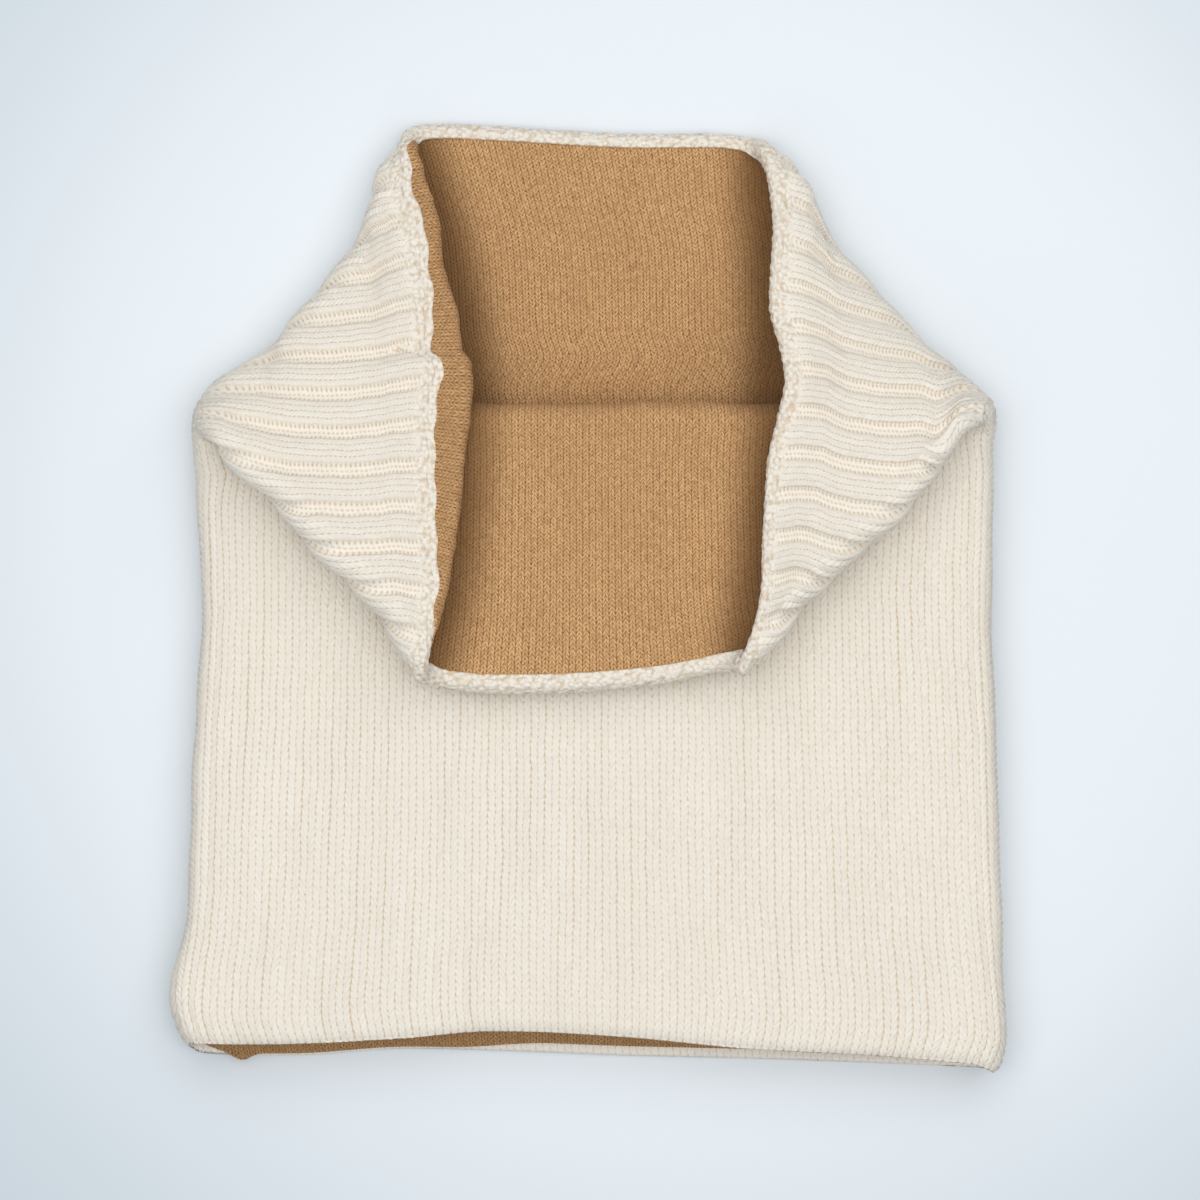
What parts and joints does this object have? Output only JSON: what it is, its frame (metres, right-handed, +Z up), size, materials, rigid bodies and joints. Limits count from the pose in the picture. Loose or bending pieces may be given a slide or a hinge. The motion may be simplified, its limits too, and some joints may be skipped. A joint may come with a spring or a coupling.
{
  "type": "knitted snood",
  "caption": "Double-layer knitted neck warmer tube lying flat, cream outside with a ribbed cuff folded open over a fine camel lining",
  "frame": {"origin": "on the table under the middle of the snood's box", "axes": "+Z up, +Y from the hem to the far rim of the opened cuff, +X to the right as the snood lies"},
  "size_m": [0.2642, 0.3007, 0.0404],
  "materials": {
    "cream_knit": "matte chunky stockinette knit",
    "cream_rib": "matte chunky rib knit",
    "camel_knit": "matte fine stockinette knit"
  },
  "bodies": {
    "root": {"outer_body": "cream_knit", "rib_cuff": "cream_rib", "lining": "camel_knit"}
  },
  "joints": []
}
